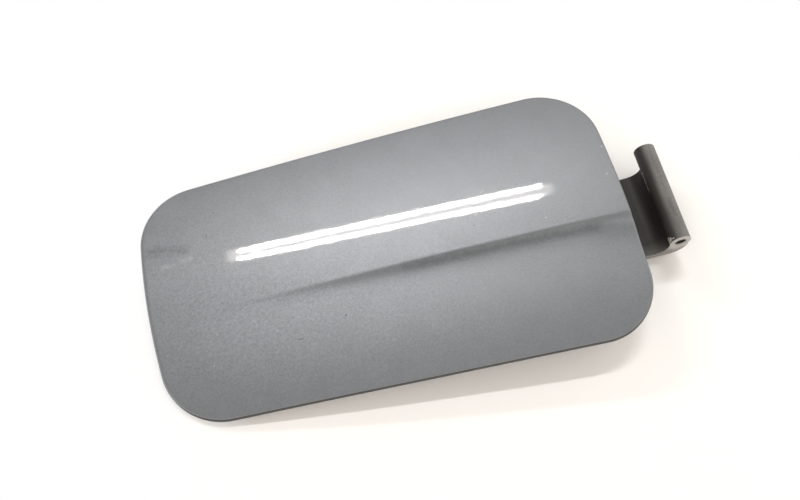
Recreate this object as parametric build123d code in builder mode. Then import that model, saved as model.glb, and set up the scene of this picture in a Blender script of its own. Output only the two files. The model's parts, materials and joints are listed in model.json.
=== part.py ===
"""Car fuel door: painted steel flap with a moulded swan-neck hinge arm, lying face up.

The hinge axis is the Y axis and the origin is the middle of the hinge bore. The free end lies at -X,
the outer face looks up, and the flap rests on its free-end corners and on the bend of the neck.
Lengths are in millimetres.
"""
import os
from math import asin, atan2, cos, hypot, radians, sin, sqrt, tan

from build123d import *

# Outline of the flap
flap_length = 210.0
hinge_end_height = 123.5
free_end_height = 105.5
corner_radius = 26.5
far_free_corner_radius = 32.0
hinge_end_bow = 1.8
free_end_bow = 0.5
free_end_slant = 0.9
long_edge_bow = 0.3

# Crown of the outer face
crown_radius = 420.0
lengthwise_radius = 2600.0

# Feature line: a step that is full at the hinge end and fades out towards the free end
line_depth = 1.5
line_side = -6.5
line_edge = 2.5
line_blend = 14.0
line_fade_start = -85.0
line_fade_end = 35.0

# Sheets and hem
skin_sheet = 0.8
inner_sheet = 0.7
hem_width = 9.0
hem_bevel = 0.7
hem_clearance = 0.3

# Inner panel
flange_width = 12.0
tub_draw = 3.0
tub_depth = 6.5
floor_dip = 0.74
pad_depth = 9.5
pad_length = 42.0
pad_width = 58.0
pad_radius = 8.0
pad_draw = 2.0
lightening_bore = 20.0
lightening_reach = -16.0
lightening_spread = 46.0

# Hinge arm
axis_reach = 125.2
axis_drop = 10.5
barrel_diameter = 9.6
barrel_length = 48.0
barrel_chamfer = 0.4
pin_diameter = 5.0
pin_running_clearance = 0.05
arm_wall = 3.0
arm_width = 39.5
trough_length = 18.8
neck_depth = 11.5
neck_run = 7.0
neck_bend_radius = 5.5
root_inset = 0.4
root_outer_radius = 7.5
root_inner_radius = 6.0
foot_length = 46.0
foot_setback = 5.0
foot_width = 52.0
foot_radius = 7.0
rib_wall = 2.2
rib_spacing = 8.0
rib_length = 33.0

# Fasteners
screw_diameter = 5.0
screw_hole_clearance = 0.4
screw_head_diameter = 10.0
screw_head_height = 3.2
screw_socket_width = 4.0
screw_socket_depth = 2.0
screw_tip = 0.4
nut_width = 8.0
nut_height = 3.6
lone_screw_margin = 8.0
paired_screw_margin = 14.0
paired_screw_spread = 37.0

# Rubber buffers and mastic
stop_diameter = 10.0
stop_height = 2.2
stop_neck_diameter = 5.0
stop_barb_diameter = 6.6
stop_barb_height = 1.6
stop_barb_taper = 18.0
stop_reach = -47.0
stop_spread = 66.0
dab_diameter = 12.0
dab_centre_reaches = (-47.0, -13.0)
dab_side_reach = 21.0
dab_side_spread = 62.0

# Sizes that follow
half_length = flap_length / 2
hem_stack = 2 * skin_sheet + inner_sheet
pad_mouth = -skin_sheet
pad_floor = -pad_depth
foot_top = pad_floor - inner_sheet
foot_underside = foot_top - arm_wall
neck_underside = -axis_drop - neck_depth
neck_floor = neck_underside + arm_wall
barrel_radius = barrel_diameter / 2
bore_diameter = pin_diameter + 2 * pin_running_clearance
arm_near_side = -barrel_length / 2
arm_far_side = arm_near_side + arm_width
arm_centre = (arm_near_side + arm_far_side) / 2
screw_hole_diameter = screw_diameter + screw_hole_clearance
root_inner_face = axis_reach - barrel_radius + root_inset
root_outer_face = axis_reach + barrel_radius - root_inset
neck_floor_reach = root_inner_face - trough_length
neck_top_reach = neck_floor_reach - neck_run
rib_start = neck_top_reach - rib_length
foot_end = neck_top_reach - foot_setback
foot_start = foot_end - foot_length
lone_screw_reach = foot_start + lone_screw_margin
paired_screw_reach = foot_end - paired_screw_margin
pad_centre = foot_start + pad_length / 2 - pad_draw

# Corners of the neck's profile, over and under its wall
neck_lean = atan2(foot_top - neck_floor, neck_floor_reach - neck_top_reach)
neck_shift = arm_wall / 2 * tan(neck_lean / 2)
over_top_bend = (neck_top_reach + neck_shift, foot_top)
over_low_bend = (neck_floor_reach + neck_shift, neck_floor)
under_top_bend = (neck_top_reach - neck_shift, foot_underside)
under_low_bend = (neck_floor_reach - neck_shift, neck_underside)
root_throat = (root_inner_face, neck_floor)
root_low_corner = (root_outer_face, neck_underside)

# Places of the fasteners, holes, buffers and dabs
screw_spots = [
    (lone_screw_reach, arm_centre),
    (paired_screw_reach, arm_centre - paired_screw_spread / 2),
    (paired_screw_reach, arm_centre + paired_screw_spread / 2),
]
lightening_spots = [(lightening_reach, -lightening_spread / 2), (lightening_reach, lightening_spread / 2)]
stop_spots = [(stop_reach, -stop_spread / 2), (stop_reach, stop_spread / 2)]
dab_spots = [(reach, 0.0) for reach in dab_centre_reaches]
dab_spots += [(dab_side_reach, -dab_side_spread / 2), (dab_side_reach, dab_side_spread / 2)]

# Room left round the flap by the blocks that cut it
block_margin = 6.0
block_depth = 60.0


def sag(distance, radius):
    """Drop of a circular arc at a distance from its crown."""
    return radius - sqrt(radius**2 - distance**2)


def arc_slope(distance, radius):
    """Rise per length of the same arc, measured outwards."""
    return -distance / sqrt(radius**2 - distance**2)


def line_depth_at(station):
    """Depth of the feature line, which eases in from the free end."""
    part_way = (station - line_fade_start) / (line_fade_end - line_fade_start)
    part_way = min(max(part_way, 0.0), 1.0)
    return line_depth * part_way**2 * (3 - 2 * part_way)


def table_tilt():
    """Angle at which the flap lies on a corner of its free end and on the bend of the neck."""
    bend_reach = neck_floor_reach
    bend_radius = neck_bend_radius + arm_wall / 2
    bend_height = neck_underside + bend_radius
    corner_reach = -half_length + corner_radius
    corner_side = free_end_height / 2 - corner_radius
    tilts = []
    for turn in range(90, 181, 5):
        reach = corner_reach + corner_radius * cos(radians(turn))
        side = corner_side + corner_radius * sin(radians(turn))
        height = -sag(side, crown_radius) - sag(reach, lengthwise_radius) - hem_stack
        run = bend_reach - reach
        fall = height - bend_height
        tilts.append(atan2(fall, run) + asin(bend_radius / hypot(run, fall)))
    return min(tilts)


# The flap's own plane: its origin is the top of the crown and its X runs to the hinge
tilt = table_tilt()
flap_forward = Vector(cos(tilt), 0, sin(tilt))
flap_up = Vector(-sin(tilt), 0, cos(tilt))
flap = Plane(flap_up * axis_drop - flap_forward * axis_reach, x_dir=flap_forward, z_dir=flap_up)
flap_upright = Axis(flap.origin, flap.z_dir)

# Floor of the tub: a plane that dips towards the hinge
floor_tilt = tilt - radians(floor_dip)
floor_forward = Vector(cos(floor_tilt), 0, sin(floor_tilt))
floor_up = Vector(-sin(floor_tilt), 0, cos(floor_tilt))
floor_top = Plane(flap.from_local_coords(Vector(0, 0, -tub_depth)), x_dir=floor_forward, z_dir=floor_up)
floor_underside = floor_top.offset(-inner_sheet)


def level(height):
    """Plane parallel to the flap, at a height from the top of the crown."""
    return flap.offset(height)


def across(station):
    """Cross-section plane: X runs across the flap and Y up."""
    return Plane(flap.from_local_coords(Vector(station, 0, 0)), x_dir=flap.y_dir, z_dir=flap.x_dir)


def along(side):
    """Lengthwise plane: X runs to the hinge, Y up, and it extrudes towards the near side."""
    return Plane(flap.from_local_coords(Vector(0, side, 0)), x_dir=flap.x_dir, z_dir=-flap.y_dir)


def outline(inset, height):
    """The flap's rounded outline, drawn in by an inset, on a plane at a height."""
    edge_slope = (hinge_end_height - free_end_height) / 2 / flap_length
    edge_inset = inset * sqrt(1 + edge_slope**2)
    end = half_length - inset
    hinge_side = hinge_end_height / 2 - edge_slope * inset - edge_inset
    free_side = free_end_height / 2 + edge_slope * inset - edge_inset
    middle = (hinge_side + free_side) / 2 + long_edge_bow
    slant = free_end_slant * free_side / free_end_height
    free_middle = -end + free_end_slant / 2
    near_hinge = (end, -hinge_side)
    far_hinge = (end, hinge_side)
    far_free = (free_middle + slant, free_side)
    near_free = (free_middle - slant, -free_side)
    with BuildSketch(level(height)) as shape:
        with BuildLine():
            ThreePointArc(near_free, (0, -middle), near_hinge)
            ThreePointArc(near_hinge, (end + hinge_end_bow, 0), far_hinge)
            ThreePointArc(far_hinge, (0, middle), far_free)
            ThreePointArc(far_free, (free_middle - free_end_bow, 0), near_free)
        make_face()
        for corner in (near_hinge, far_hinge, near_free):
            fillet(shape.vertices().sort_by_distance(corner).first, corner_radius - inset)
        fillet(shape.vertices().sort_by_distance(far_free).first, far_free_corner_radius - inset)
    return shape.sketch


def crown_block(drop):
    """Block under the crowned and stepped face, lowered by a drop."""
    edge = hinge_end_height / 2 + block_margin
    end = half_length + block_margin
    upper = line_side + line_edge
    lower = line_side - line_blend
    upper_mid = (upper + edge) / 2
    lower_mid = (lower - edge) / 2
    upper_hold = Vector(1, arc_slope(upper, crown_radius)) * line_edge
    lower_hold = Vector(1, arc_slope(lower, crown_radius)) * (line_blend / 2)
    rim = sag(edge, crown_radius)
    middle_station = (line_fade_start + line_fade_end) / 2
    stations = [-end, line_fade_start, middle_station, line_fade_end, (line_fade_end + end) / 2, end]
    with BuildPart() as block:
        for station in stations:
            top = -drop - sag(station, lengthwise_radius)
            step = line_depth_at(station)
            upper_end = Vector(upper, top - sag(upper, crown_radius))
            lower_end = Vector(lower, top - step - sag(lower, crown_radius))
            with BuildSketch(across(station)):
                with BuildLine():
                    ThreePointArc(
                        (edge, top - rim), (upper_mid, top - sag(upper_mid, crown_radius)), upper_end
                    )
                    Bezier(upper_end, upper_end - upper_hold, lower_end + lower_hold, lower_end)
                    ThreePointArc(
                        lower_end,
                        (lower_mid, top - step - sag(lower_mid, crown_radius)),
                        (-edge, top - step - rim),
                    )
                    Polyline(
                        (-edge, top - step - rim),
                        (-edge, -block_depth),
                        (edge, -block_depth),
                        (edge, top - rim),
                    )
                make_face()
        loft()
    return block.part


def pad_outline(inset, height):
    """The pad's rounded rectangle, drawn in by an inset, on a plane at a height."""
    with BuildSketch(level(height)) as shape:
        with Locations((pad_centre, arm_centre)):
            RectangleRounded(pad_length - 2 * inset, pad_width - 2 * inset, pad_radius - inset)
    return shape.sketch


# Blocks under the outer face, the skin, the inner flange and the hem
face_block = crown_block(0.0)
skin_block = crown_block(skin_sheet)
flange_block = crown_block(skin_sheet + inner_sheet)
hem_block = crown_block(hem_stack)

# What the skin's fold leaves free: the window inside the hem and the slot for the inner flange
with BuildPart() as hem_window:
    add(skin_block)
    extrude(outline(hem_width, -block_depth), amount=2 * block_depth, mode=Mode.INTERSECT)

with BuildPart() as hem_slot:
    add(skin_block)
    extrude(outline(skin_sheet, -block_depth), amount=2 * block_depth, mode=Mode.INTERSECT)
    add(flange_block, mode=Mode.SUBTRACT)

# Outer panel: crowned skin whose edge is folded flat round the inner panel
with BuildPart() as outer_panel:
    add(face_block)
    extrude(outline(0.0, -block_depth), amount=2 * block_depth, mode=Mode.INTERSECT)
    add(hem_block, mode=Mode.SUBTRACT)
    rim_faces = outer_panel.faces().filter_by(lambda face: abs(face.normal_at().dot(flap.z_dir)) < 0.3)
    chamfer(rim_faces.edges().filter_by(flap_upright, reverse=True), hem_bevel)
    add(hem_window.part, mode=Mode.SUBTRACT)
    add(hem_slot.part, mode=Mode.SUBTRACT)
outer_panel.part.label = "outer_panel"

# The tub that is drawn into the inner panel: its sheet, and the space inside it
with BuildPart() as tub_shell:
    loft(
        [
            outline(flange_width - inner_sheet, 0.0),
            outline(flange_width + tub_draw - inner_sheet, -block_depth / 4),
        ]
    )
    add(skin_block, mode=Mode.INTERSECT)
    split(bisect_by=floor_underside, keep=Keep.TOP)

with BuildPart() as tub_space:
    loft([outline(flange_width, 0.0), outline(flange_width + tub_draw, -block_depth / 4)])
    split(bisect_by=floor_top, keep=Keep.TOP)

# The pad pressed down out of the tub's floor, in the same way
with BuildPart() as pad_shell:
    loft([pad_outline(0.0, pad_mouth), pad_outline(pad_draw, foot_top)])
    split(bisect_by=floor_top, keep=Keep.BOTTOM)

with BuildPart() as pad_space:
    loft([pad_outline(inner_sheet, pad_mouth), pad_outline(pad_draw + inner_sheet, pad_floor)])

# Inner panel: flange in the hem, drawn tub, pad for the hinge arm, lightening holes
with BuildPart() as inner_panel:
    add(skin_block)
    extrude(outline(skin_sheet + hem_clearance, -block_depth), amount=2 * block_depth, mode=Mode.INTERSECT)
    add(flange_block, mode=Mode.SUBTRACT)
    add(tub_shell.part)
    add(tub_space.part, mode=Mode.SUBTRACT)
    add(pad_shell.part)
    add(pad_space.part, mode=Mode.SUBTRACT)
    with BuildSketch(floor_underside):
        with Locations(*stop_spots):
            Circle(stop_neck_diameter / 2)
        with Locations(*lightening_spots):
            Circle(lightening_bore / 2)
    extrude(amount=inner_sheet, mode=Mode.SUBTRACT)
    with BuildSketch(level(foot_top)):
        with Locations(*screw_spots):
            Circle(screw_hole_diameter / 2)
    extrude(amount=inner_sheet, mode=Mode.SUBTRACT)
inner_panel.part.label = "inner_panel"

# Mastic dabs between the floor of the tub and the skin
with BuildPart() as mastic_dabs:
    with BuildSketch(floor_top):
        with Locations(*dab_spots):
            Circle(dab_diameter / 2)
    extrude(amount=tub_depth)
    add(skin_block, mode=Mode.INTERSECT)
mastic_dabs.part.label = "mastic_dabs"

# Rubber buffers: head under the floor, neck through it and a barb above
with BuildPart() as bump_stops:
    with BuildSketch(floor_underside):
        with Locations(*stop_spots):
            Circle(stop_diameter / 2)
    extrude(amount=-stop_height)
    with BuildSketch(floor_underside):
        with Locations(*stop_spots):
            Circle(stop_neck_diameter / 2)
    extrude(amount=inner_sheet)
    with BuildSketch(floor_top):
        with Locations(*stop_spots):
            Circle(stop_barb_diameter / 2)
    extrude(amount=stop_barb_height, taper=stop_barb_taper)
bump_stops.part.label = "bump_stops"

# Weld nuts on the pad, inside the flap
with BuildPart() as weld_nuts:
    with BuildSketch(level(pad_floor)):
        with Locations(*screw_spots):
            RegularPolygon(nut_width / 2, 6, major_radius=False)
            Circle(screw_diameter / 2, mode=Mode.SUBTRACT)
    extrude(amount=nut_height)
weld_nuts.part.label = "weld_nuts"

# Screws through the foot of the arm, with a flange head and a hexagon socket
with BuildPart() as hinge_screws:
    with BuildSketch(level(foot_underside)):
        with Locations(*screw_spots):
            Circle(screw_head_diameter / 2)
    extrude(amount=-screw_head_height)
    with BuildSketch(level(foot_underside)):
        with Locations(*screw_spots):
            Circle(screw_diameter / 2)
    extrude(amount=arm_wall + inner_sheet + nut_height + screw_tip)
    with BuildSketch(level(foot_underside - screw_head_height)):
        with Locations(*screw_spots):
            RegularPolygon(screw_socket_width / 2, 6, major_radius=False)
    extrude(amount=screw_socket_depth, mode=Mode.SUBTRACT)
hinge_screws.part.label = "hinge_screws"

# Hinge arm: swan neck and root of the barrel as one profile, then barrel, foot plate, ribs, cores and bores
with BuildPart() as hinge_arm:
    with BuildSketch(along(arm_far_side)) as neck:
        with BuildLine():
            Polyline(
                (foot_start, foot_underside),
                under_top_bend,
                under_low_bend,
                root_low_corner,
                (root_outer_face, -axis_drop),
                (root_inner_face, -axis_drop),
                root_throat,
                over_low_bend,
                over_top_bend,
                (foot_start, foot_top),
                close=True,
            )
        make_face()
        for corners, radius in (
            ((under_top_bend, over_low_bend), neck_bend_radius - arm_wall / 2),
            ((over_top_bend, under_low_bend), neck_bend_radius + arm_wall / 2),
            ((root_low_corner,), root_outer_radius),
            ((root_throat,), root_inner_radius),
        ):
            fillet([neck.vertices().sort_by_distance(corner).first for corner in corners], radius)
    extrude(amount=arm_width)
    with BuildSketch(along(barrel_length / 2)):
        with Locations((axis_reach, -axis_drop)):
            Circle(barrel_radius)
    extrude(amount=barrel_length)
    chamfer(hinge_arm.faces().sort_by(Axis.Y).last.edges(), barrel_chamfer)
    with BuildSketch(level(foot_top)):
        with Locations(((foot_start + foot_end) / 2, arm_centre)):
            RectangleRounded(foot_end - foot_start, foot_width, foot_radius)
    extrude(amount=-arm_wall)
    for side in (arm_centre - rib_spacing, arm_centre, arm_centre + rib_spacing):
        with BuildSketch(along(side + rib_wall / 2)):
            with BuildLine():
                Polyline(
                    (rib_start, foot_top - arm_wall / 2),
                    (neck_top_reach, foot_top - arm_wall / 2),
                    (neck_floor_reach, neck_floor - arm_wall / 2),
                    (rib_start, foot_underside),
                    close=True,
                )
            make_face()
        extrude(amount=rib_wall)
    with BuildSketch(level(foot_top)):
        with Locations(*screw_spots):
            Circle(screw_hole_diameter / 2)
    extrude(amount=-arm_wall, mode=Mode.SUBTRACT)
    with BuildSketch(along(barrel_length / 2)):
        with Locations((axis_reach, -axis_drop)):
            Circle(bore_diameter / 2)
    extrude(amount=barrel_length, mode=Mode.SUBTRACT)
hinge_arm.part.label = "hinge_arm"

os.makedirs("parts", exist_ok=True)
export_step(outer_panel.part, "parts/outer_panel.step")
export_step(inner_panel.part, "parts/inner_panel.step")
export_step(mastic_dabs.part, "parts/mastic_dabs.step")
export_step(bump_stops.part, "parts/bump_stops.step")
export_step(weld_nuts.part, "parts/weld_nuts.step")
export_step(hinge_screws.part, "parts/hinge_screws.step")
export_step(hinge_arm.part, "parts/hinge_arm.step")
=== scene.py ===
"""Car fuel door lying face up: a metallic painted flap on a black moulded hinge arm.

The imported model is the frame. The flap's skin is built again as a fine mesh, with softer forms than its solid has,
and every other piece keeps its solid and gets its finish here. Lengths are in metres.
"""
import json
from math import cos, exp, pi, radians, sin, sqrt, tan, tanh

import bmesh
import bpy
from bpy.props import FloatProperty, FloatVectorProperty, PointerProperty
from mathutils import Matrix, Vector


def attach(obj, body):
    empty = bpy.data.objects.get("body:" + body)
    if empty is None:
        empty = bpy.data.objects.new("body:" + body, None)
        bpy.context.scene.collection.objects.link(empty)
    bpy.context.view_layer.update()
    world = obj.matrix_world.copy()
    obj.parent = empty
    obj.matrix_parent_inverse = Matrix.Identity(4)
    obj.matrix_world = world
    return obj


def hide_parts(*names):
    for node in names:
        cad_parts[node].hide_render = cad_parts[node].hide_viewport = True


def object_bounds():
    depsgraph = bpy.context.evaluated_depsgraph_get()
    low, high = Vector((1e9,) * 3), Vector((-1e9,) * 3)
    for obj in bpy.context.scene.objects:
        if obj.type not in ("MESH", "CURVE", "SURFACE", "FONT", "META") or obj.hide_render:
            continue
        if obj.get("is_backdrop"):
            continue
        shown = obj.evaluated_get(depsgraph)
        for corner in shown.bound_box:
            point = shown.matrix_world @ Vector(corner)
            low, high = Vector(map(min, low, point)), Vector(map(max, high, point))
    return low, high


bl_info = {
    "name": "Fuel door",
    "version": (1, 0, 0),
    "blender": (4, 5, 0),
    "location": "View3D > Sidebar > Fuel door",
    "description": "Builds a painted fuel door and its studio around a packed model",
    "category": "Add Mesh",
}

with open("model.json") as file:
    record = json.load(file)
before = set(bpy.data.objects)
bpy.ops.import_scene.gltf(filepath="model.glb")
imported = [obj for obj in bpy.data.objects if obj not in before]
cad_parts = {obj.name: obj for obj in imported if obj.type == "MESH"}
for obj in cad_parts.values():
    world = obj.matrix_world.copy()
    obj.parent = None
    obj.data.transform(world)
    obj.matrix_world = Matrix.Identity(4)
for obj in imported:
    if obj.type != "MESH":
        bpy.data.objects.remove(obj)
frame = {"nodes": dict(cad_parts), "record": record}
cad_low, cad_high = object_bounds()

MM = 0.001
MERGE_DISTANCE = MM / 1000
IMAGE_WIDTH = 800

# Fineness of the skin: cells along an end and along a long side, steps round the fold of the hem, and the angle
# from which an edge shows as sharp
END_CELLS = 190
LONG_CELLS = 180
FOLD_STEPS = 16
SHARP_ANGLE = radians(40)

# Rounding of the arm's moulded edges: its width, its steps and the angle from which an edge gets it
EDGE_ROUNDING = 0.35 * MM
EDGE_STEPS = 3
EDGE_ANGLE = radians(35)

# Steps round the stage, and up the quarter circle of its backdrop
ROUND_STEPS = 96
SWEEP_STEPS = 12

# Directions of the lamps from the flap: along it to the hinge, across it to the far side, and up
TUBES_TOWARDS = Vector((0.106, 0.482, 0.88))
KEY_TOWARDS = Vector((0.4, 0.58, 0.8))
LOW_LAMP_TOWARDS = Vector((-0.37, 0.79, 0.49))
WINDOW_TOWARDS = Vector((0.85, 0.35, 0.4))

# The housing is longer than its tubes and hangs a little behind them
HOUSING_MARGIN = 80 * MM
HOUSING_SETBACK = 1.005

# Height in the room where the walls end and where the ceiling is darkest, as a share of straight up
WALL_END = 0.4
CEILING_START = 0.85

# The floor keeps its shade round a place off the middle of the part, and is white from the outer distance on
SHADE_OFFSET = Vector((30, -45, 0)) * MM
SHADE_INNER = 115 * MM
SHADE_OUTER = 165 * MM

NEAREST_SEEN = 10 * MM


def linear(hex_colour):
    """An sRGB hex value as linear red, green and blue."""
    channels = [int(hex_colour[i : i + 2], 16) / 255 for i in (1, 3, 5)]
    return tuple(c / 12.92 if c <= 0.04045 else ((c + 0.055) / 1.055) ** 2.4 for c in channels)


def number(name, description, value, unit="NONE"):
    """A plain number property with its default."""
    return FloatProperty(name=name, description=description, default=value, unit=unit)


def length(name, description, millimetres):
    """A length property with its default in millimetres."""
    return FloatProperty(
        name=name, description=description, default=millimetres * MM, unit="LENGTH", precision=4
    )


def angle(name, description, degrees):
    """An angle property with its default in degrees."""
    return number(name, description, radians(degrees), "ROTATION")


def power(name, description, watts):
    """A lamp's power property with its default in watts."""
    return number(name, description, watts, "POWER")


def colour(name, description, hex_colour):
    """A colour property with its default as an sRGB hex value."""
    return FloatVectorProperty(
        name=name, description=description, default=linear(hex_colour), subtype="COLOR", min=0, max=1
    )


class FlapSizes(bpy.types.PropertyGroup):
    """Sizes of the painted skin and where it lies."""

    flap_length: length("Length", "Length of the flap from its free end to its hinge end", 210)
    hinge_end_height: length("Hinge end", "Height of the flap at its hinge end", 123.5)
    free_end_height: length("Free end", "Height of the flap at its free end", 105.5)
    corner_radius: length("Corner radius", "Radius of the corners", 26.5)
    hinge_end_bow: length("Hinge end bow", "How far the hinge end bows out", 1.8)
    free_end_bow: length("Free end bow", "How far the free end bows out", 3.9)
    free_end_slant: length("Free end slant", "How far the far corner of the free end stands back", 2.0)
    free_end_inset: length("Free end inset", "How far both corners of the free end stand back", 2.2)
    long_edge_bow: length("Long edge bow", "How far the long edges bow out", 0.3)
    crown_radius: length("Crown", "Radius of the face across the flap", 420)
    lengthwise_radius: length("Lengthwise crown", "Radius of the face along the flap", 2600)
    warp: length("Warp", "How far the far side dips and the near side rises halfway along the flap", 0.142)
    warp_side: length("Warp side", "Place of the warp across the flap", 13)
    warp_reach: length("Warp reach", "Distance across the flap over which the warp turns over", 20)
    skin_sheet: length("Skin sheet", "Thickness of the outer sheet", 0.8)
    hem_stack: length("Hem thickness", "Thickness of the folded rim", 2.3)
    hem_width: length("Hem width", "Width of the fold under the rim", 9)
    hem_burr: length("Hem edge", "Rounding of the fold's cut edge", 0.15)
    line_depth: length("Line depth", "Step of the feature line at the hinge end", 1.95)
    line_side: length("Line side", "Place of the feature line across the middle of the flap", -6.4)
    line_slant: angle("Line slant", "Turn of the feature line towards the near side at the hinge", 0.2)
    line_start_softness: length("Line start softness", "Length over which the step dies out where it begins", 1.1)
    line_softness: length("Line softness", "Length over which the step dies out at the hinge end", 3.0)
    line_fade_start: length("Line fade start", "Station where the line begins to show", -85)
    line_fade_end: length("Line fade end", "Station where the line is full", 30)
    line_recovery: number("Line recovery", "Share of the step won back at the near edge, at the hinge end", 0.6)
    brow_depth: length("Brow depth", "How far the face rounds over before it reaches the feature line", 0.27)
    brow_start: length("Brow start", "Distance past the line at which the face begins to round over", -14)
    brow_end: length("Brow end", "Distance past the line at which the rounding ends", 5)
    brow_recovery: length("Brow recovery", "Distance past the line at which the face is back at its height", 40)
    brow_fade: number("Brow fade", "Share of the rounding lost at the hinge end", 0.6)
    crease_softness: length("Crease softness", "Length over which the crease on top of the step dies out", 0.9)
    crease_share: number("Crease share", "Share of the step in its crease", 0.36)
    facet_start: length("Facet start", "Station where the crease and the step part", 82.5)
    facet_spread: angle("Facet spread", "Angle between the crease and the step", 12.4)
    axis_reach: length("Axis reach", "Distance of the hinge axis from the middle of the flap", 125.2)
    axis_drop: length("Axis drop", "Depth of the hinge axis under the top of the crown", 10.5)
    lie_angle: angle("Lie", "Angle at which the flap lies on the table", 4.4443)


class FinishColours(bpy.types.PropertyGroup):
    """Colours of the finishes."""

    paint: colour("Paint", "Grey metallic base coat", "#82878d")
    inner_coat: colour("Inner coat", "Thin coat on the inner panel", "#8a8c8f")
    nylon: colour("Nylon", "Glass-filled nylon of the hinge arm", "#242220")
    # Pale nylon, painted as light on the barrel's upper side and used for the paler near end of the trough
    pale_nylon: colour("Weathered nylon", "Nylon bleached by the weather", "#727170")
    rubbed_nylon: colour("Rubbed nylon", "Nylon rubbed pale at the end of the barrel", "#b3b1ae")
    zinc: colour("Zinc", "Zinc plating of the screws and nuts", "#b9b6ac")
    rubber: colour("Rubber", "Rubber of the buffers", "#1d1d1d")
    mastic: colour("Mastic", "Mastic between the sheets", "#3a3937")
    # Dark colour painted on the near fold and on the fold at the hinge end as shade
    fold_shade: colour("Primer", "Dark primer where the spray misses the fold", "#232220")
    smudge: colour("Smudge", "Dried smudges on the paint", "#b4b9be")
    # Greasy dirt, also painted as shade along the band below the feature line
    grease_and_line_shade: colour("Grease", "Greasy dirt on the paint", "#4b5358")
    scratch: colour("Scratch", "Scratched clear coat", "#9fa2a4")
    chip: colour("Chip", "Chips in the paint", "#d2d4d6")
    pit: colour("Pit", "Dirt in small pits of the paint", "#4a4b4d")
    paper: colour("Paper", "White paper of the floor and backdrop", "#fcfcfb")
    room: colour("Room", "Warm light from the walls and ceiling", "#fff6ec")
    lamps: colour("Lamps", "Slightly warm white of the lamps", "#fff9f3")


class StageSizes(bpy.types.PropertyGroup):
    """Camera, lamps and floor."""

    view_distance: length("View distance", "Distance of the camera from the flap", 470.2)
    view_turn: angle("View turn", "Turn of the camera about the flap's upright", -15.263)
    view_height: angle("View height", "Height angle of the camera over the flap", 66.725)
    view_roll: angle("View roll", "Roll of the camera", 0.4304)
    aim_along: length("Aim along", "Aim point along the flap", 3.793)
    aim_across: length("Aim across", "Aim point across the flap", -0.546)
    focal_pixels: number("Focal length", "Focal length in image pixels", 1100)
    tube_distance: length("Tube distance", "Distance of the twin tubes from the flap", 2000)
    tube_length: length("Tube length", "Length of each tube", 877)
    tube_width: length("Tube width", "Width of each tube", 20)
    tube_gap: length("Tube gap", "Distance between the twin tubes", 62)
    tube_slant: angle("Tube slant", "Turn of the tubes out of line with the flap", -2.95)
    tube_spread: angle("Tube spread", "Angle at which the tubes part towards the hinge side", 1.3)
    tube_power: power("Tube power", "Light of each tube", 6.6)
    housing_power: power("Housing power", "Light of the housing", 1.5)
    key_power: power("Key power", "Light of the far lamp on the floor", 15.5)
    low_lamp_power: power("Low lamp power", "Light of the low lamp on the floor", 11)
    window_power: power("Window power", "Light of the window", 6.5)
    window_size: length("Window size", "Width of the window", 1200)
    wall_strength: number("Walls", "Strength of the light from the walls", 1.22)
    ceiling_strength: number("Ceiling", "Strength of the light from above", 0.25)
    ceiling_lean: angle("Ceiling lean", "Lean of the darkest part of the ceiling to the far side", 30)
    floor_lift: number("Floor lift", "Share of pure white in the floor", 0.02)
    floor_radius: length("Floor radius", "Radius of the flat floor", 1700)
    backdrop_height: length("Backdrop height", "Height of the backdrop round the floor", 700)


class FuelDoorSettings(bpy.types.PropertyGroup):
    """All that a user would change."""

    flap: PointerProperty(type=FlapSizes)
    colours: PointerProperty(type=FinishColours)
    stage: PointerProperty(type=StageSizes)


def flap_matrix(sizes):
    """From the flap's own plane, with its origin on the crown and X to the hinge, to the frame of the model."""
    forward = Vector((cos(sizes.lie_angle), 0, sin(sizes.lie_angle)))
    upright = Vector((-sin(sizes.lie_angle), 0, cos(sizes.lie_angle)))
    origin = upright * sizes.axis_drop - forward * sizes.axis_reach
    turn = Matrix((forward, (0, 1, 0), upright)).transposed().to_4x4()
    return Matrix.Translation(origin) @ turn


def ease(value, start, end):
    """Smooth step from 0 at the start to 1 at the end."""
    share = min(max((value - start) / (end - start), 0), 1)
    return share * share * (3 - 2 * share)


def sag(distance, radius):
    """Drop of an arc at a distance from its crown."""
    return radius - sqrt(radius * radius - distance * distance)


def step_share(distance, softness):
    """Share of the feature line's step that is done at a distance from its edge."""
    run = max(distance, 0) / softness
    return 1 - (1 + run) * exp(-run)


def face_height(sizes, along, across):
    """Height of the outer face: a warped double crown with a feature line.

    The line is a step with a crease on its top. It fades out towards the free end and opens into a facet at the
    hinge end, where the face behind it rises again. The face rounds over before it reaches the line.
    """
    half = sizes.flap_length / 2
    way = max((along - sizes.line_fade_start) / (half - sizes.line_fade_start), 0)
    softness = sizes.line_start_softness + (sizes.line_softness - sizes.line_start_softness) * way
    fade = ease(along, sizes.line_fade_start, sizes.line_fade_end)
    depth = sizes.line_depth * fade * softness / sizes.line_softness
    distance = sizes.line_side - along * tan(sizes.line_slant) - across
    gap = max(along - sizes.facet_start, 0) * tan(sizes.facet_spread)
    crease = step_share(distance, sizes.crease_softness) * sizes.crease_share
    step = depth * (crease + step_share(distance - gap, softness) * (1 - sizes.crease_share))
    step *= 1 - sizes.line_recovery * way * ease(distance, 0, sizes.hinge_end_height / 2 + sizes.line_side)
    brow = ease(distance, sizes.brow_start, sizes.brow_end)
    brow -= ease(distance, sizes.brow_end, sizes.brow_recovery)
    step += sizes.brow_depth * (1 - sizes.brow_fade * way**2) * brow
    warp = sizes.warp * (1 - (along / half) ** 2) * tanh((across - sizes.warp_side) / sizes.warp_reach)
    return -sag(across, sizes.crown_radius) - sag(along, sizes.lengthwise_radius) - step - warp


def turned(direction, by):
    """A direction in the plane, turned anticlockwise by an angle."""
    return Matrix.Rotation(by, 2) @ direction


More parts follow.
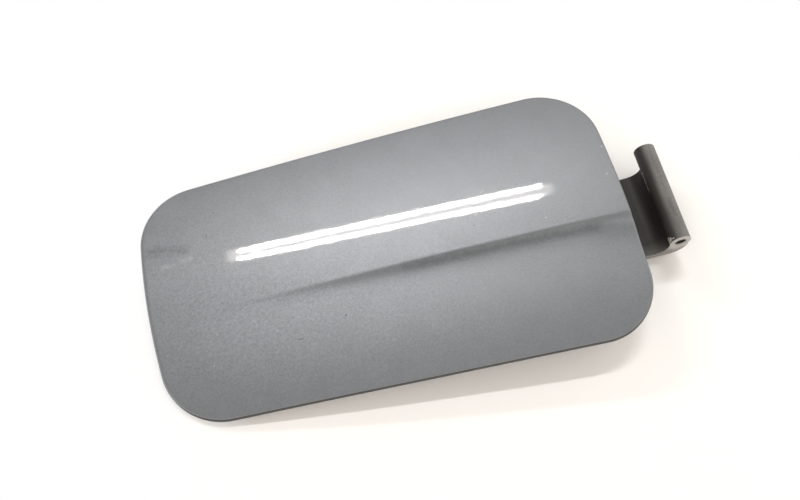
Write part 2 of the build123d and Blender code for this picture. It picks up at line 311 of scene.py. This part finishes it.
def outline(sizes):
    """Points of the outline with their outward directions, in four runs between the middles of the corners."""
    half = sizes.flap_length / 2
    hinge = sizes.hinge_end_height / 2
    free = sizes.free_end_height / 2
    near_free = Vector((sizes.free_end_inset - half, -free))
    far_free = Vector((near_free.x + sizes.free_end_slant, free))
    tips = [Vector((half, -hinge)), Vector((half, hinge)), far_free, near_free]
    bows = [sizes.hinge_end_bow, sizes.long_edge_bow, sizes.free_end_bow, sizes.long_edge_bow]
    sides = []
    for k, bow in enumerate(bows):
        start, end = tips[k], tips[(k + 1) % 4]
        radius = (end - start).length_squared / (8 * bow) + bow / 2
        outward = Vector((end.y - start.y, start.x - end.x)).normalized()
        sides.append(((start + end) / 2 + outward * (bow - radius), radius))
    hubs = []
    rounding = sizes.corner_radius
    for k, tip in enumerate(tips):
        (hub_a, radius_a), (hub_b, radius_b) = sides[k - 1], sides[k]
        between = hub_b - hub_a
        reach_a, reach_b = radius_a - rounding, radius_b - rounding
        base = (reach_a**2 - reach_b**2) / (2 * between.length) + between.length / 2
        rise = sqrt(reach_a**2 - base**2)
        foot = hub_a + between.normalized() * base
        square = turned(between.normalized(), pi / 2) * rise
        hubs.append(min(foot + square, foot - square, key=lambda spot: (spot - tip).length))
    points = []
    for k, cells in enumerate((END_CELLS, LONG_CELLS, END_CELLS, LONG_CELLS)):
        hub, radius = sides[k]
        following = (k + 1) % 4
        first, last = hubs[k], hubs[following]
        leave, meet = (first - hub).normalized(), (last - hub).normalized()
        enter = ((first - sides[k - 1][0]).normalized() + leave).normalized()
        depart = (meet + (last - sides[following][0]).normalized()).normalized()
        lead = enter.angle(leave) * rounding
        run = leave.angle(meet) * radius
        tail = meet.angle(depart) * rounding
        for cell in range(cells):
            way = (lead + run + tail) * cell / cells
            if way < lead:
                centre, reach, outward = first, rounding, turned(enter, way / rounding)
            elif way < lead + run:
                centre, reach, outward = hub, radius, turned(leave, (way - lead) / radius)
            else:
                centre, reach, outward = last, rounding, turned(meet, (way - lead - run) / rounding)
            points.append((centre + outward * reach, outward))
    return points


def patch(loop):
    """Rows of points inside a loop of four runs, blended from its four sides."""
    far_start, free_start = END_CELLS, END_CELLS + LONG_CELLS
    near_start = free_start + END_CELLS
    loop = loop + loop[:1]
    hinge_side, far_side = loop[: far_start + 1], loop[far_start : free_start + 1][::-1]
    free_side, near_side = loop[free_start : near_start + 1][::-1], loop[near_start:]
    rows = []
    for j in range(END_CELLS + 1):
        t = j / END_CELLS
        row = []
        for i in range(LONG_CELLS + 1):
            s = i / LONG_CELLS
            spot = near_side[i] * (1 - t) + far_side[i] * t + free_side[j] * (1 - s) + hinge_side[j] * s
            spot = spot - (free_side[0] * (1 - s) + hinge_side[0] * s) * (1 - t)
            row.append(spot - (free_side[-1] * (1 - s) + hinge_side[-1] * s) * t)
        rows.append(row)
    return rows


def skin_mesh(sizes):
    """The folded skin: face, rounded fold, hem, slot for the inner flange and underside."""
    points = outline(sizes)
    fold = sizes.hem_stack / 2
    hem_top = sizes.hem_stack - sizes.skin_sheet
    profile = []
    for k in range(FOLD_STEPS + 1):
        way = pi / 2 - pi * k / FOLD_STEPS
        profile.append((fold - fold * cos(way), fold - fold * sin(way)))
    profile += [
        (sizes.hem_width - sizes.hem_burr, sizes.hem_stack),
        (sizes.hem_width, sizes.hem_stack - sizes.hem_burr),
        (sizes.hem_width, hem_top),
        (sizes.skin_sheet, hem_top),
        (sizes.skin_sheet, sizes.skin_sheet),
        (fold, sizes.skin_sheet),
    ]
    rows = patch([point - outward * fold for point, outward in points])
    shape = bmesh.new()

    def vertex(spot, drop):
        return shape.verts.new((spot.x, spot.y, face_height(sizes, spot.x, spot.y) - drop))

    for drop, order in ((0, 1), (sizes.skin_sheet, -1)):
        sheet = [[vertex(spot, drop) for spot in row] for row in rows]
        for lower, upper in zip(sheet, sheet[1:]):
            for i in range(LONG_CELLS):
                shape.faces.new([lower[i], lower[i + 1], upper[i + 1], upper[i]][::order])
    rings = [[vertex(point - outward * inset, drop) for point, outward in points] for inset, drop in profile]
    for inner, outer in zip(rings, rings[1:]):
        for k in range(len(points)):
            shape.faces.new((inner[k - 1], outer[k - 1], outer[k], inner[k]))
    bmesh.ops.remove_doubles(shape, verts=shape.verts, dist=MERGE_DISTANCE)
    for face in shape.faces:
        face.smooth = True
    mesh = bpy.data.meshes.new("painted_skin")
    shape.to_mesh(mesh)
    shape.free()
    mesh.set_sharp_from_angle(angle=SHARP_ANGLE)
    mesh.transform(flap_matrix(sizes))
    return mesh


def feed(tree, inputs, sockets):
    """Set a node's inputs by name or number: an output is linked and anything else is a value."""
    for key, value in sockets.items():
        if isinstance(value, bpy.types.NodeSocket):
            tree.links.new(value, inputs[key])
        else:
            inputs[key].default_value = value


def add(tree, kind, sockets, **details):
    """Add a node with its settings and inputs, and give back its outputs."""
    made = tree.nodes.new(kind)
    for name, value in details.items():
        setattr(made, name, value)
    feed(tree, made.inputs, sockets)
    return made.outputs


def new_finish(name):
    """An empty finish: its material, its nodes, its shader's inputs and the place on the object."""
    finish = bpy.data.materials.new(name)
    finish.use_nodes = True
    tree = finish.node_tree
    place = add(tree, "ShaderNodeTexCoord", {})["Object"]
    return finish, tree, tree.nodes["Principled BSDF"].inputs, place


def opaque(colour_value):
    """A colour with full cover."""
    return (*colour_value, 1)


def per_metre(millimetres):
    """Scale of a pattern whose features have that size."""
    return 1 / (millimetres * MM)


# A value from 0 to 1, and the span in which most of a cloudy pattern lies
UNIT = (0, 1)
NOISE_SPAN = (0.3, 0.7)


def noise(tree, place, size, detail):
    """A cloudy pattern with features of a size in millimetres."""
    return add(tree, "ShaderNodeTexNoise", {"Vector": place, "Scale": per_metre(size), "Detail": detail})["Fac"]


def ranged(tree, value, limits, levels, **details):
    """A value carried over from a pair of limits to a pair of levels, and held at both ends."""
    sockets = {"Value": value, 1: limits[0], 2: limits[1], 3: levels[0], 4: levels[1]}
    return add(tree, "ShaderNodeMapRange", sockets, **details)["Result"]


def joined(tree, operation, first, second):
    """The product of two values, or the larger one."""
    return add(tree, "ShaderNodeMath", {0: first, 1: second}, operation=operation)["Value"]


def vectors(tree, operation, first, *second, **scale):
    """Arithmetic with one or two vectors, or with a vector and its scale."""
    sockets = {0: first, **dict(enumerate(second, 1)), **scale}
    return add(tree, "ShaderNodeVectorMath", sockets, operation=operation)


def mixed(tree, share, first, second, **details):
    """A share of the second colour over the first."""
    sockets = {"Fac": share, "Color1": first, "Color2": second}
    return add(tree, "ShaderNodeMixRGB", sockets, **details)["Color"]


def toned(tree, base, level):
    """A colour times a level."""
    return mixed(tree, 1, base, level, blend_type="MULTIPLY")


def bumped(tree, height, depth, strength=1, **sockets):
    """A surface tipped by a pattern of heights with a depth in millimetres."""
    sockets = {"Height": height, "Strength": strength, "Distance": depth * MM, **sockets}
    return add(tree, "ShaderNodeBump", sockets)["Normal"]


def stroke(tree, place, start, end, width):
    """Mask of a mark along a straight stroke: 1 on its middle line and 0 at its width."""
    run = Vector(end) - Vector(start)
    from_start = vectors(tree, "SUBTRACT", place, start)["Vector"]
    share = vectors(tree, "DOT_PRODUCT", from_start, run / run.length_squared)["Value"]
    share = add(tree, "ShaderNodeClamp", {"Value": share})["Result"]
    foot = vectors(tree, "SCALE", run, Scale=share)["Vector"]
    distance = vectors(tree, "DISTANCE", from_start, foot)["Value"]
    return ranged(tree, distance, (0, width), (1, 0))


def on_face(sizes, along, across):
    """A place on the outer face, given in millimetres of the flap's own plane, in the frame of the model."""
    along, across = along * MM, across * MM
    return flap_matrix(sizes) @ Vector((along, across, face_height(sizes, along, across)))


# Marks on the paint, in millimetres along and across the flap: start, end, half width
SCRATCHES = (
    ((39.4, 7.1), (44.0, 11.2), 0.3),
    ((44.7, 16.8), (46.7, 18.4), 0.25),
    ((62.7, 22.2), (63.8, 22.1), 0.25),
)
CHIPS = (
    ((102.0, 12.6), (102.1, 12.7), 0.4),
    ((104.6, 26.4), (104.7, 26.7), 0.3),
    ((69.1, -1.5), (69.2, -1.4), 0.3),
    ((-83.2, -30.2), (-83.1, -30.1), 0.3),
)
PITS = (
    ((-25.6, -23.0), (-25.4, -22.8), 0.5),
    ((-46.8, -28.1), (-45.2, -28.3), 0.25),
    ((37.7, 2.5), (37.9, 2.6), 0.35),
    ((-75.2, 28.0), (-75.0, 28.2), 0.35),
    ((-70.3, 38.4), (-70.1, 38.3), 0.3),
)
SMUDGES = (
    ((-95.8, 18.1), (-91.5, 17.8), 2.2),
    ((-87.8, 18.7), (-83.4, 19.4), 2.0),
)
# Greasy dirt near the free end, then two marks of painted shade along the dark band below the feature line
GREASE_AND_LINE_SHADE = (
    ((-100.0, 26.8), (-86.0, 24.0), 4.5),
    ((5.0, -8.4), (60.0, -9.6), 4.2),
    ((60.0, -9.6), (90.0, -11.0), 4.2),
)

# Stains on the paint and painted shade below the feature line: their marks and how much they cover, the size of
# their grain in millimetres, and its limits
STAINS_AND_SHADE = {"smudge": (SMUDGES, 0.2), "grease_and_line_shade": (GREASE_AND_LINE_SHADE, 0.36)}
MARK_GRAIN = 2
MARK_LIMITS = (0.1, 0.5)

# Painted shade on the folds of the rim: the side they look to, how far they turn to it at the start and in full,
# and how much of the dark shade colour they get. The near fold is painted dark, the fold at the hinge end less so
SHADED_FOLDS = (
    ((0, -1, 0), (0.42, 0.62), 0.95),
    ((1, 0, 0), (0.12, 0.5), 0.55),
)

# Grain of the paint in millimetres. Aluminium flakes are some 0.05 mm wide, and are drawn wider so that they
# glitter. They lie in clouds, and the clear coat over them has an orange peel some micrometres deep
FLAKE_SIZE = 0.45
CLOUD_SIZE = 12
CLOUD_LEVELS = (0.93, 1.07)
PEEL_SIZE = 1.3
PEEL_DEPTH = 0.0058
SCRATCH_DEPTH = 0.02

# Flakes lie nearly flat in the coat and each tips the light its own way; the spray lays them over to one side
FLAKE_LAY = (0.5, 0.05, 0.5)
FLAKE_TIP = 0.05


def strokes_on_face(tree, place, sizes, marks):
    """One mask of several marks on the face."""
    total = 0
    for start, end, width in marks:
        mask = stroke(tree, place, on_face(sizes, *start), on_face(sizes, *end), width * MM)
        total = joined(tree, "MAXIMUM", mask, total)
    return total


def metallic_paint(sizes, colours):
    """Sprayed metallic base coat under clear coat: grey that lifts towards the lamps, with a sharp wet gloss."""
    finish, tree, shader, place = new_finish("sprayed_metallic_paint")
    flakes = add(tree, "ShaderNodeTexVoronoi", {"Vector": place, "Scale": per_metre(FLAKE_SIZE)})["Color"]
    glint = add(tree, "ShaderNodeSeparateColor", {"Color": flakes})["Red"]
    base = toned(tree, opaque(colours.paint), ranged(tree, glint, UNIT, CLOUD_LEVELS))
    cloud = noise(tree, place, CLOUD_SIZE, detail=4)
    base = toned(tree, base, ranged(tree, cloud, UNIT, CLOUD_LEVELS))
    # Stains, and painted shade below the feature line, laid over a grain
    grain = noise(tree, place, MARK_GRAIN, detail=4)
    for name, (marks, share) in STAINS_AND_SHADE.items():
        mask = joined(tree, "MULTIPLY", strokes_on_face(tree, place, sizes, marks), grain)
        mask = ranged(tree, mask, MARK_LIMITS, (0, share))
        base = mixed(tree, mask, base, opaque(getattr(colours, name)))
    scratches = strokes_on_face(tree, place, sizes, SCRATCHES)
    chips = strokes_on_face(tree, place, sizes, CHIPS)
    pits = strokes_on_face(tree, place, sizes, PITS)
    for mask, tone in ((scratches, colours.scratch), (chips, colours.chip), (pits, colours.pit)):
        base = mixed(tree, mask, base, opaque(tone))
    facing = add(tree, "ShaderNodeNewGeometry", {})["Normal"]
    # Painted shade: folds that look to the near side or to the hinge end are darkened
    for side, limits, share in SHADED_FOLDS:
        fold_facing = vectors(tree, "DOT_PRODUCT", facing, side)["Value"]
        base = mixed(tree, ranged(tree, fold_facing, limits, (0, share)), base, opaque(colours.fold_shade))
    tip = vectors(tree, "SUBTRACT", flakes, FLAKE_LAY)["Vector"]
    tip = vectors(tree, "SCALE", tip, Scale=FLAKE_TIP)["Vector"]
    tip = vectors(tree, "ADD", facing, tip)["Vector"]
    tip = vectors(tree, "NORMALIZE", tip)["Vector"]
    waves = bumped(tree, noise(tree, place, PEEL_SIZE, detail=5), PEEL_DEPTH)
    waves = bumped(tree, scratches, -SCRATCH_DEPTH, Normal=waves)
    feed(
        tree,
        shader,
        {
            "Base Color": base,
            "Metallic": 0.65,
            "Roughness": 0.43,
            "Normal": tip,
            "Coat Weight": 1,
            "Coat Roughness": 0.021,
            "Coat IOR": 1.5,
            "Coat Normal": waves,
        },
    )
    return finish


# Level of the dusty overspray against the coat
DUST_LEVEL = 0.55


def inner_coat(colours):
    """Dipped and thinly sprayed sheet steel: an even, dull grey with a dusty overspray."""
    finish, tree, shader, place = new_finish("thin_coat_on_steel")
    dust = ranged(tree, noise(tree, place, size=9, detail=5), limits=(0.35, 0.7), levels=(0, 0.5))
    dull = tuple(c * DUST_LEVEL for c in colours.inner_coat)
    base = mixed(tree, dust, opaque(colours.inner_coat), opaque(dull))
    rough = bumped(tree, noise(tree, place, size=0.6, detail=2), depth=0.02, strength=0.4)
    feed(tree, shader, {"Base Color": base, "Metallic": 0.3, "Roughness": 0.48, "Normal": rough})
    return finish


# Lean of the barrel's lit upper side away from the upright, and the heights between which it is painted pale as light
LIT_SIDE_LEAN = radians(35)
LIT_SIDE_HEIGHTS = (0.6 * MM, 3.6 * MM)

# Streaks along the barrel in its painted light: their width in millimetres and how they are drawn out along it
STREAK_SIZE = 4
STREAK_DRAW = (1, 0.2, 1)

# Distances from the hinge axis between which the barrel ends and its trough begins
TROUGH_REACH = (5.5 * MM, 8.5 * MM)

# At the near end: how far the trough's paler grey reaches along the arm, and how much it covers there. The trough
# turns paler grey towards the end; the face round the bore is rubbed pale, and the end of the trough by a share of
# that
PALER_END_REACH = (0.6 * MM, 6 * MM)
PALER_END_COVER = (0.5, 0)
RUBBED_REACH = (0.2 * MM, 0.6 * MM)
RUBBED_COVER = (0.95, 0)
RUBBED_TROUGH = 0.45

# Rubbed places on the barrel in millimetres: start, end, half width. The last one lies on the mould's parting line
BARREL_RUBS = (
    ((-5.8, -22.8, -1.4), (-5.2, -21.6, -0.2), 2.2),
    ((-4.6, -22.5, 0.9), (-3.6, -22.6, 3.0), 0.6),
    ((-4.8, -22.9, 0.0), (-4.5, -22.2, 1.4), 1.6),
    ((-4.7, 12.5, -0.6), (-4.7, 3.0, -0.6), 0.8),
)


def moulded_nylon(colours, near_end):
    """Moulded glass-filled nylon, brown-black and dull: painted light on the barrel's upper side, and rubbed pale at
    its end.
    """
    finish, tree, shader, place = new_finish("moulded_glass_filled_nylon")
    pale_tone = opaque(colours.pale_nylon)
    fibre = noise(tree, place, size=1.2, detail=4)
    # Painted light: the barrel's upper side, which looks up and away from the flap, is painted pale in streaks along
    # it
    drawn = vectors(tree, "MULTIPLY", place, STREAK_DRAW)["Vector"]
    streaks = ranged(tree, noise(tree, drawn, STREAK_SIZE, detail=5), NOISE_SPAN, levels=(0.55, 1.2))
    back = vectors(tree, "DOT_PRODUCT", place, (sin(LIT_SIDE_LEAN), 0, cos(LIT_SIDE_LEAN)))["Value"]
    back = ranged(tree, back, LIT_SIDE_HEIGHTS, UNIT, interpolation_type="SMOOTHSTEP")
    back = joined(tree, "MULTIPLY", back, streaks)
    base = mixed(tree, back, opaque(colours.nylon), pale_tone)
    # The trough turns paler grey towards the near end, and the face round the bore is rubbed pale
    from_end = add(tree, "ShaderNodeSeparateXYZ", {"Vector": place})["Y"]
    from_axis = vectors(tree, "MULTIPLY", place, (1, 0, 1))["Vector"]
    from_axis = vectors(tree, "LENGTH", from_axis)["Value"]
    outside = ranged(tree, from_axis, TROUGH_REACH, UNIT)
    paler_end = ranged(tree, from_end, [near_end + reach for reach in PALER_END_REACH], PALER_END_COVER)
    base = mixed(tree, joined(tree, "MULTIPLY", paler_end, outside), base, pale_tone)
    rubbed = ranged(tree, from_end, [near_end + reach for reach in RUBBED_REACH], RUBBED_COVER)
    rubbed = joined(tree, "MULTIPLY", rubbed, ranged(tree, outside, UNIT, (1, RUBBED_TROUGH)))
    chips = 0
    for start, end, width in BARREL_RUBS:
        mask = stroke(tree, place, Vector(start) * MM, Vector(end) * MM, width * MM)
        chips = joined(tree, "MAXIMUM", mask, chips)
    chips = ranged(tree, joined(tree, "MULTIPLY", chips, fibre), limits=(0.22, 0.34), levels=(0, 0.9))
    base = mixed(tree, joined(tree, "MAXIMUM", rubbed, chips), base, opaque(colours.rubbed_nylon))
    base = toned(tree, base, ranged(tree, fibre, NOISE_SPAN, levels=(0.85, 1.1)))
    gloss = ranged(tree, fibre, NOISE_SPAN, levels=(0.52, 0.64))
    grain = bumped(tree, fibre, depth=0.02, strength=0.5)
    feed(tree, shader, {"Base Color": base, "Roughness": gloss, "IOR": 1.53, "Normal": grain})
    return finish


def zinc_plate(colours):
    """Zinc-plated steel: bright grey metal, slightly yellow, with dull patches of handling."""
    finish, tree, shader, place = new_finish("zinc_plated_steel")
    patches = noise(tree, place, size=3, detail=4)
    gloss = ranged(tree, patches, NOISE_SPAN, levels=(0.28, 0.5))
    base = toned(tree, opaque(colours.zinc), ranged(tree, patches, UNIT, levels=(0.8, 1.05)))
    feed(tree, shader, {"Base Color": base, "Metallic": 1, "Roughness": gloss})
    return finish


def dull_rubber(name, tone, grain_size, roughness):
    """Moulded rubber or cured mastic: nearly black and matt, with a soft mottled grain."""
    finish, tree, shader, place = new_finish(name)
    mottle = noise(tree, place, grain_size, detail=4)
    base = toned(tree, opaque(tone), ranged(tree, mottle, UNIT, levels=(0.7, 1.3)))
    skin = bumped(tree, mottle, depth=0.05, strength=0.5)
    feed(tree, shader, {"Base Color": base, "Roughness": roughness, "Normal": skin})
    return finish


def dress(node, finish):
    """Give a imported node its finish."""
    piece = frame["nodes"][node]
    piece.data.materials.clear()
    piece.data.materials.append(finish)
    return piece


class FUELDOOR_OT_outer_panel(bpy.types.Operator):
    """Build the painted skin with its folded hem"""

    bl_idname = "fueldoor.outer_panel"
    bl_label = "Outer panel"

    def execute(self, context):
        sizes, colours = context.scene.fuel_door.flap, context.scene.fuel_door.colours
        skin = bpy.data.objects.new("painted_skin", skin_mesh(sizes))
        context.scene.collection.objects.link(skin)
        skin.data.materials.append(metallic_paint(sizes, colours))
        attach(skin, "root")
        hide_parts("outer_panel")
        return {"FINISHED"}


class FUELDOOR_OT_inner_panel(bpy.types.Operator):
    """Coat the inner panel"""

    bl_idname = "fueldoor.inner_panel"
    bl_label = "Inner panel"

    def execute(self, context):
        dress("inner_panel", inner_coat(context.scene.fuel_door.colours))
        return {"FINISHED"}


class FUELDOOR_OT_hinge_arm(bpy.types.Operator):
    """Finish the moulded hinge arm"""

    bl_idname = "fueldoor.hinge_arm"
    bl_label = "Hinge arm"

    def execute(self, context):
        near_end = -frame["record"]["mounts"][0]["dims"]["length_mm"] / 2 * MM
        arm = dress("hinge_arm", moulded_nylon(context.scene.fuel_door.colours, near_end))
        weld = arm.modifiers.new("weld", "WELD")
        weld.merge_threshold = MERGE_DISTANCE
        soft = arm.modifiers.new("moulded_edges", "BEVEL")
        soft.width = EDGE_ROUNDING
        soft.segments = EDGE_STEPS
        soft.limit_method = "ANGLE"
        soft.angle_limit = EDGE_ANGLE
        return {"FINISHED"}


class FUELDOOR_OT_fasteners(bpy.types.Operator):
    """Plate the screws and weld nuts"""

    bl_idname = "fueldoor.fasteners"
    bl_label = "Screws and nuts"

    def execute(self, context):
        plate = zinc_plate(context.scene.fuel_door.colours)
        for node in ("hinge_screws", "weld_nuts"):
            dress(node, plate)
        return {"FINISHED"}


class FUELDOOR_OT_soft_pieces(bpy.types.Operator):
    """Finish the rubber buffers and the mastic"""

    bl_idname = "fueldoor.soft_pieces"
    bl_label = "Buffers and mastic"

    def execute(self, context):
        colours = context.scene.fuel_door.colours
        dress("bump_stops", dull_rubber("moulded_rubber", colours.rubber, grain_size=2, roughness=0.6))
        dress("mastic_dabs", dull_rubber("cured_mastic", colours.mastic, grain_size=3, roughness=0.8))
        return {"FINISHED"}


def white_paper(name, colours, near_share):
    """Matt white paper that shows as pure white where it is seen or mirrored, near the flap by a share only."""
    finish, tree, shader, place = new_finish(name)
    fibres = ranged(tree, noise(tree, place, size=40, detail=3), UNIT, levels=(0.99, 1))
    base = toned(tree, opaque(colours.paper), fibres)
    feed(tree, shader, {"Base Color": base, "Roughness": 1, "Specular IOR Level": 0})
    rays = add(tree, "ShaderNodeLightPath", {})
    seen = joined(tree, "MAXIMUM", rays["Is Camera Ray"], rays["Is Glossy Ray"])
    seen = joined(tree, "MAXIMUM", seen, rays["Is Transmission Ray"])
    shaded = (cad_low + cad_high) / 2 + SHADE_OFFSET
    distance = vectors(tree, "DISTANCE", place, shaded)["Value"]
    share = ranged(tree, distance, (SHADE_INNER, SHADE_OUTER), (near_share, 1))
    share = joined(tree, "MULTIPLY", seen, share)
    white = add(tree, "ShaderNodeEmission", {"Color": (1, 1, 1, 1), "Strength": 1})["Emission"]
    paper = tree.nodes["Principled BSDF"].outputs["BSDF"]
    shown = add(tree, "ShaderNodeMixShader", {0: share, 1: paper, 2: white})["Shader"]
    feed(tree, tree.nodes["Material Output"].inputs, {"Surface": shown})
    return finish


def stage_piece(context, name, profile, finish):
    """A round piece of the stage, from a profile of (radius, height) points turned about the upright."""
    shape = bmesh.new()
    chain = [shape.verts.new((radius, 0, height)) for radius, height in profile]
    edges = [shape.edges.new(pair) for pair in zip(chain, chain[1:])]
    bmesh.ops.spin(
        shape,
        geom=chain + edges,
        cent=(0, 0, 0),
        axis=(0, 0, 1),
        angle=2 * pi,
        steps=ROUND_STEPS,
        use_merge=True,
    )
    bmesh.ops.remove_doubles(shape, verts=shape.verts, dist=MERGE_DISTANCE)
    for face in shape.faces:
        face.smooth = True
    mesh = bpy.data.meshes.new(name)
    shape.to_mesh(mesh)
    shape.free()
    mesh.materials.append(finish)
    piece = bpy.data.objects.new(name, mesh)
    context.scene.collection.objects.link(piece)
    piece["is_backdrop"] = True


def lamp(context, name, place, watts, size, aside=0, slant=0):
    """A rectangular lamp that faces the flap from a place in the flap's own plane, with its length along the flap."""
    upright = place.normalized()
    along = (Vector((1, 0, 0)) - upright * upright.x).normalized()
    turn = Matrix((along, upright.cross(along), upright)).transposed().to_4x4()
    light = bpy.data.lights.new(name, "AREA")
    light.shape = "RECTANGLE"
    light.size, light.size_y = size
    light.energy = watts
    light.color = context.scene.fuel_door.colours.lamps
    piece = bpy.data.objects.new(name, light)
    context.scene.collection.objects.link(piece)
    local = Matrix.Rotation(slant, 4, "Z") @ Matrix.Translation((0, aside, 0))
    piece.matrix_world = flap_matrix(context.scene.fuel_door.flap) @ Matrix.Translation(place) @ turn @ local
    return piece


def lay_floor(context, stage, colours):
    """A flat floor and a backdrop that sweeps up round it, both of white paper."""
    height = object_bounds()[0].z
    edge, rise = stage.floor_radius, stage.backdrop_height
    floor_paper = white_paper("floor_paper", colours, stage.floor_lift)
    stage_piece(context, "floor", [(0, height), (edge, height)], floor_paper)
    sweep = []
    for k in range(SWEEP_STEPS + 1):
        way = pi / 2 * k / SWEEP_STEPS
        sweep.append((edge + rise * sin(way), height + rise * (1 - cos(way))))
    stage_piece(context, "backdrop", sweep, white_paper("backdrop_paper", colours, 1))


def hang_lamps(context, stage):
    """Twin tubes in a housing, two lamps for the floor and a window."""
    # Twin tubes from the far side, in one white housing, show only in the gloss
    place = TUBES_TOWARDS.normalized() * stage.tube_distance
    for name, side in (("far_tube", 0.5), ("near_tube", -0.5)):
        slant = stage.tube_slant + stage.tube_spread * side
        size = (stage.tube_length, stage.tube_width)
        tube = lamp(context, name, place, stage.tube_power, size, stage.tube_gap * side, slant)
        tube.visible_diffuse = False
    housing = (stage.tube_length + HOUSING_MARGIN, stage.tube_gap + stage.tube_width)
    place = place * HOUSING_SETBACK
    glow = lamp(context, "housing", place, stage.housing_power, housing, slant=stage.tube_slant)
    glow.visible_diffuse = False

    # Two lamps like the housing on the far side, one of them low, light the floor and show only in matt light
    for name, towards, watts in (
        ("key", KEY_TOWARDS, stage.key_power),
        ("low_lamp", LOW_LAMP_TOWARDS, stage.low_lamp_power),
    ):
        place = towards.normalized() * stage.tube_distance
        matt = lamp(context, name, place, watts, housing, slant=stage.tube_slant)
        matt.visible_glossy = False
        matt.data.color = (1, 1, 1)

    # A window on the hinge side
    size = (stage.window_size, stage.window_size)
    lamp(context, "window", WINDOW_TOWARDS * stage.tube_distance, stage.window_power, size)


def light_room(scene, stage, colours):
    """Pale walls, and a ceiling that is darkest on the far side."""
    world = bpy.data.worlds.new("room")
    world.use_nodes = True
    tree = world.node_tree
    look = add(tree, "ShaderNodeTexCoord", {})["Generated"]
    dark = (0, sin(stage.ceiling_lean), cos(stage.ceiling_lean))
    height = vectors(tree, "DOT_PRODUCT", look, dark)["Value"]
    strengths = (stage.wall_strength, stage.ceiling_strength)
    level = ranged(tree, height, (WALL_END, CEILING_START), strengths)
    feed(tree, tree.nodes["Background"].inputs, {"Color": opaque(colours.room), "Strength": level})
    scene.world = world
    scene.view_settings.view_transform = "Standard"


def place_camera(scene, stage, sizes):
    """A camera over the near side that looks down on the flap."""
    turn, height = stage.view_turn, stage.view_height
    back = Vector((sin(turn) * cos(height), -cos(turn) * cos(height), sin(height)))
    right = Vector((cos(turn), sin(turn), 0))
    pose = Matrix((right, back.cross(right), back)).transposed().to_4x4()
    pose = pose @ Matrix.Rotation(stage.view_roll, 4, "Z")
    aim = Vector((stage.aim_along, stage.aim_across, 0))
    lens = bpy.data.cameras.new("camera")
    lens.lens = stage.focal_pixels / IMAGE_WIDTH * lens.sensor_width
    lens.clip_start = NEAREST_SEEN
    camera = bpy.data.objects.new("camera", lens)
    scene.collection.objects.link(camera)
    camera.matrix_world = flap_matrix(sizes) @ Matrix.Translation(aim + back * stage.view_distance) @ pose
    scene.camera = camera


class FUELDOOR_OT_stage(bpy.types.Operator):
    """Set up the floor, backdrop, lamps and camera"""

    bl_idname = "fueldoor.stage"
    bl_label = "Stage"

    def execute(self, context):
        settings = context.scene.fuel_door
        lay_floor(context, settings.stage, settings.colours)
        hang_lamps(context, settings.stage)
        light_room(context.scene, settings.stage, settings.colours)
        place_camera(context.scene, settings.stage, settings.flap)
        return {"FINISHED"}


OPERATORS = (
    FUELDOOR_OT_outer_panel,
    FUELDOOR_OT_inner_panel,
    FUELDOOR_OT_hinge_arm,
    FUELDOOR_OT_fasteners,
    FUELDOOR_OT_soft_pieces,
    FUELDOOR_OT_stage,
)


class FUELDOOR_PT_pieces(bpy.types.Panel):
    """The pieces of the fuel door, in the order in which they are built"""

    bl_label = "Fuel door"
    bl_space_type = "VIEW_3D"
    bl_region_type = "UI"
    bl_category = "Fuel door"

    def draw(self, context):
        for operator in OPERATORS:
            self.layout.operator(operator.bl_idname)


CLASSES = (FlapSizes, FinishColours, StageSizes, FuelDoorSettings, *OPERATORS, FUELDOOR_PT_pieces)


def register():
    for item in CLASSES:
        bpy.utils.register_class(item)
    bpy.types.Scene.fuel_door = PointerProperty(type=FuelDoorSettings)


def unregister():
    del bpy.types.Scene.fuel_door
    for item in reversed(CLASSES):
        bpy.utils.unregister_class(item)


def main():
    register()
    bpy.ops.fueldoor.outer_panel()
    bpy.ops.fueldoor.inner_panel()
    bpy.ops.fueldoor.hinge_arm()
    bpy.ops.fueldoor.fasteners()
    bpy.ops.fueldoor.soft_pieces()
    bpy.ops.fueldoor.stage()


if __name__ == "__main__":
    main()
